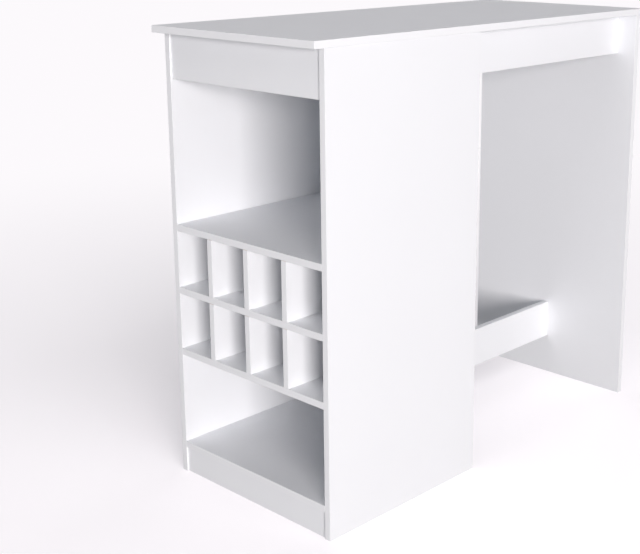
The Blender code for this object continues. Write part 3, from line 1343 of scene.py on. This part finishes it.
@dataclass(frozen=True)
class CamBolts(Fixings):
    """Turned bolts: a screw thread, a shank, a neck that the cam grips and a head."""

    kind: ClassVar[FastenerKind] = FastenerKind.CAM_BOLT
    piece_name: ClassVar[str] = "cam_bolts"
    slot: ClassVar[str] = "bolt_steel"
    finish: ClassVar[Finish] = PLATED_STEEL

    screw_length: float = 0.0112
    screw_diameter: float = 0.0050
    thread_depth: float = 0.0005
    thread_pitch: float = 0.0016
    neck_length: float = 0.0030
    neck_diameter: float = 0.0036
    head_length: float = 0.0040
    chamfer: float = 0.0004
    overlap: float = 0.0002         # how far the turned steps reach into each other
    sides: int = 24
    thread_steps: int = 12
    ridge_sides: int = 4

    def directions(self) -> dict[str, list[Vector]]:
        """Way to the head of each bolt, which its cam holds."""
        cams = [bolt.partner(FastenerKind.CAM_LOCK) for bolt in self.solids]
        return {"along": [bolt.direction(cam.box.middle) for bolt, cam in zip(self.solids, cams)]}

    def shape(self, tree: ShapeGraph) -> Field:
        """One bolt, with its head on top.

        Args:
            tree: Tree of the bolts.

        Returns:
            The turned steps and the thread as one solid.
        """
        length = tree.input("Length")
        screw, neck, head = (tree.input(f"{name} Length") for name in ("Screw", "Neck", "Head"))
        shank = length - screw - neck - head
        radius = tree.input("Diameter") / 2
        core = tree.input("Screw Diameter") / 2 - tree.input("Thread Depth")
        overlap = tree.input("Overlap")
        steps = [
            (core, 0.0, screw + overlap),
            (radius, screw, shank),
            (tree.input("Neck Diameter") / 2, screw + shank - overlap * 2, neck + overlap * 4),
            (radius, length - head, head),
        ]
        return tree.joined(*(self._step(tree, *step) for step in steps), self._thread(tree, core))

    def _step(self, tree: ShapeGraph, radius: Field, start: Operand, length: Field) -> Field:
        """A turned step of a radius and a length that starts at a height over the screw's tip."""
        pin = tree.turned_pin(radius, length, tree.input("Chamfer"), self.sides)
        return tree.shifted(pin, tree.vector(0.0, 0.0, start + length / 2 - tree.input("Length") / 2))

    def _thread(self, tree: ShapeGraph, core: Field) -> Field:
        """Make the ridge of the thread, wound round the screw.

        Args:
            tree: Tree of the bolts.
            core: Radius of the screw's core.

        Returns:
            The ridge in its place on the bolt.
        """
        pitch = tree.input("Thread Pitch")
        wound = tree.input("Screw Length") - pitch * 2
        helix = tree.node("GeometryNodeCurveSpiral", sockets={
            "Resolution": self.thread_steps, "Rotations": wound / pitch,
            "Start Radius": core, "End Radius": core, "Height": wound,
        })
        upright = tree.node("GeometryNodeSetCurveNormal", {"mode": "Z_UP"}, {"Curve": helix})
        profile = {"Resolution": self.ridge_sides, "Radius": tree.input("Thread Depth")}
        ridge = tree.node("GeometryNodeCurvePrimitiveCircle", sockets=profile)
        sockets = {"Curve": upright, "Profile Curve": ridge, "Fill Caps": True}
        thread = tree.node("GeometryNodeCurveToMesh", sockets=sockets)
        return tree.shifted(thread, tree.vector(0.0, 0.0, pitch - tree.input("Length") / 2))


@dataclass(frozen=True)
class Dowels(Fixings):
    """Beech dowels with flutes along them and chamfered ends."""

    kind: ClassVar[FastenerKind] = FastenerKind.DOWEL
    piece_name: ClassVar[str] = "dowels"
    slot: ClassVar[str] = "dowel_beech"
    finish: ClassVar[Finish] = DOWEL_BEECH

    chamfer: float = 0.0010
    flute_depth: float = 0.0003
    flutes: int = 14
    sides_in_flute: int = 4

    def measures(self) -> dict[str, float]:
        """Sizes of a dowel, and the number of its flutes."""
        return {**super().measures(), "Flutes": float(self.flutes)}

    def directions(self) -> dict[str, list[Vector]]:
        """Way from the middle to an end of each dowel."""
        return {"along": [dowel.direction(dowel.box.high) for dowel in self.solids]}

    def shape(self, tree: ShapeGraph) -> Field:
        """One dowel.

        Args:
            tree: Tree of the dowels.

        Returns:
            The pin with its flutes.
        """
        radius = tree.input("Diameter") / 2
        sides = self.flutes * self.sides_in_flute
        pin = tree.turned_pin(radius, tree.input("Length"), tree.input("Chamfer"), sides)
        x, y, z = tree.position().parts()
        wave = (y.angle_to(x) * tree.input("Flutes")).cosine()
        narrowed = 1 - (1 - wave) / 2 * tree.input("Flute Depth") / radius
        return tree.moved(pin, tree.vector(x * narrowed, y * narrowed, z))


@dataclass(frozen=True)
class SoftBox:
    """A large soft lamp that looks at the table, and may light the floor alone."""

    name: str
    bearing: float          # degrees from straight in front, towards the tower's end
    climb: float            # degrees above the table
    width: float
    height: float
    level: float            # brightness that it gives to white paper that faces it
    colour: Colour
    distance: float = 10.0
    floor_only: bool = False

    def build(self, target: Vector, floor: bpy.types.Object) -> None:
        """Make the lamp.

        Args:
            target: Point that the lamp looks at.
            floor: The floor, which is all that some lamps light.
        """
        bearing = math.radians(self.bearing)
        climb = math.radians(self.climb)
        level_way = Vector((-math.sin(bearing), -math.cos(bearing), 0.0))
        way = level_way * math.cos(climb) + Vector((0.0, 0.0, math.sin(climb)))
        light = bpy.data.lights.new(self.name, "AREA")
        light.shape = "RECTANGLE"
        light.size = self.width
        light.size_y = self.height
        light.energy = self.level * (math.pi * self.distance) ** 2      # gives the level at the target
        light.color = self.colour
        lamp = bpy.data.objects.new(self.name, light)
        lamp.location = target + way * self.distance
        lamp.rotation_euler = (-way).to_track_quat("-Z", "Y").to_euler()
        lamp.visible_camera = False
        bpy.context.scene.collection.objects.link(lamp)
        if self.floor_only:
            receivers = bpy.data.collections.new(f"{self.name}_receivers")
            receivers.objects.link(floor)
            lamp.light_linking.receiver_collection = receivers


@dataclass(frozen=True)
class Studio:
    """Pale floor, light from all round that is weaker from above, and large lamps."""

    floor_radius: float = 14.0
    floor_sides: int = 96
    horizon: Colour = (0.475, 0.486, 0.515)
    zenith: Colour = (0.089, 0.091, 0.096)
    white: Colour = BACKDROP_WHITE
    lamps: tuple[SoftBox, ...] = (
        SoftBox(
            "key_lamp", bearing=34.0, climb=7.5, width=3.6, height=2.8, level=0.955,
            colour=(1.0, 0.950, 0.938),
        ),
        SoftBox(
            "side_lamp", bearing=70.0, climb=60.0, width=3.0, height=3.0, level=0.10,
            colour=(1.0, 0.967, 0.945), distance=8.0,
        ),
        SoftBox(
            "right_lamp", bearing=-95.0, climb=5.0, width=3.0, height=2.4, level=0.37,
            colour=(1.0, 0.970, 0.972),
        ),
        SoftBox(
            "rear_lamp", bearing=-170.0, climb=5.0, width=3.0, height=2.4, level=0.31,
            colour=(1.0, 0.970, 0.972),
        ),
        SoftBox(
            "shadow_lamp", bearing=16.0, climb=40.0, width=7.5, height=5.5, level=0.68,
            colour=(1.0, 0.985, 0.985), floor_only=True,
        ),
    )

    def build(self) -> None:
        """Make the floor, the surroundings and the lamps."""
        floor = self._build_floor()
        self._build_world()
        low, high = CAD_BOX
        for lamp in self.lamps:
            lamp.build((low + high) / 2, floor)

    def _build_floor(self) -> bpy.types.Object:
        """Make the round floor under the table.

        Returns:
            The floor.
        """
        angles = [2 * math.pi * number / self.floor_sides for number in range(self.floor_sides)]
        radius = self.floor_radius
        rim = [(radius * math.cos(angle), radius * math.sin(angle), 0.0) for angle in angles]
        mesh = bpy.data.meshes.new("studio_floor")
        mesh.from_pydata(rim, [], [list(range(self.floor_sides))])
        mesh.materials.append(PALE_FLOOR.material())
        floor = bpy.data.objects.new("studio_floor", mesh)
        bpy.context.scene.collection.objects.link(floor)
        return floor

    def _build_world(self) -> None:
        """Make the light from all round, which is white where it is seen."""
        world = bpy.data.worlds.new("studio")
        world.use_nodes = True
        bpy.context.scene.world = world
        graph = Graph(world.node_tree)
        height = graph.node("ShaderNodeTexCoord", output="Generated").parts()[2].between(0.0, 1.0)
        sky = graph.blend(height, self.horizon, self.zenith)
        ambient = graph.node("ShaderNodeBackground", sockets={"Color": sky})
        white = graph.node("ShaderNodeBackground", sockets={"Color": self.white})
        both = graph.node("ShaderNodeMixShader", sockets={"Fac": graph.seen_rays(), 1: ambient, 2: white})
        graph.node("ShaderNodeOutputWorld", sockets={"Surface": both})


@dataclass(frozen=True)
class PhotoCamera:
    """The photograph's camera, found from the table's straight edges in it."""

    picture_width: int = 640
    picture_height: int = 554
    place: Triple = (-2.079, -1.841, 1.246)
    yaw: float = 43.12              # degrees from the table's length
    pitch: float = -13.88
    focal_length: float = 1186.0    # in pixels
    axis_x: float = 385.0           # pixel that the lens points at
    axis_y: float = 213.0
    sensor_width: float = 36.0

    def build(self) -> None:
        """Make the camera and use it for the scene."""
        yaw = math.radians(self.yaw)
        pitch = math.radians(self.pitch)
        forward = Vector((math.cos(pitch) * math.cos(yaw), math.cos(pitch) * math.sin(yaw), math.sin(pitch)))
        data = bpy.data.cameras.new("photo_camera")
        data.sensor_width = self.sensor_width
        data.lens = self.focal_length * self.sensor_width / self.picture_width
        data.shift_x = 0.5 - self.axis_x / self.picture_width
        data.shift_y = (self.axis_y - self.picture_height / 2) / self.picture_width
        camera = bpy.data.objects.new("photo_camera", data)
        camera.location = self.place
        camera.rotation_euler = forward.to_track_quat("-Z", "Y").to_euler()
        bpy.context.scene.collection.objects.link(camera)
        bpy.context.scene.camera = camera


def main() -> None:
    """Build the table board by board, then its fasteners, the studio and the camera."""
    logging.basicConfig(level=logging.INFO, format="%(name)s: %(message)s")
    assemblies = [TableTop(), Tower(), BottleRack(), LegAndRails()]
    boards = [board for assembly in assemblies for board in assembly.boards()]
    holes = drillings(boards)
    board_tree = BoardShape()
    for assembly in assemblies:
        assembly.dress(assembly.build(board_tree, holes))
    for fixings in (CamLocks(boards), CamBolts(boards), Dowels(boards)):
        fixings.dress(fixings.build())
    Studio().build()
    PhotoCamera().build()
    bpy.context.scene.view_settings.view_transform = "Standard"


if __name__ == "__main__":
    main()
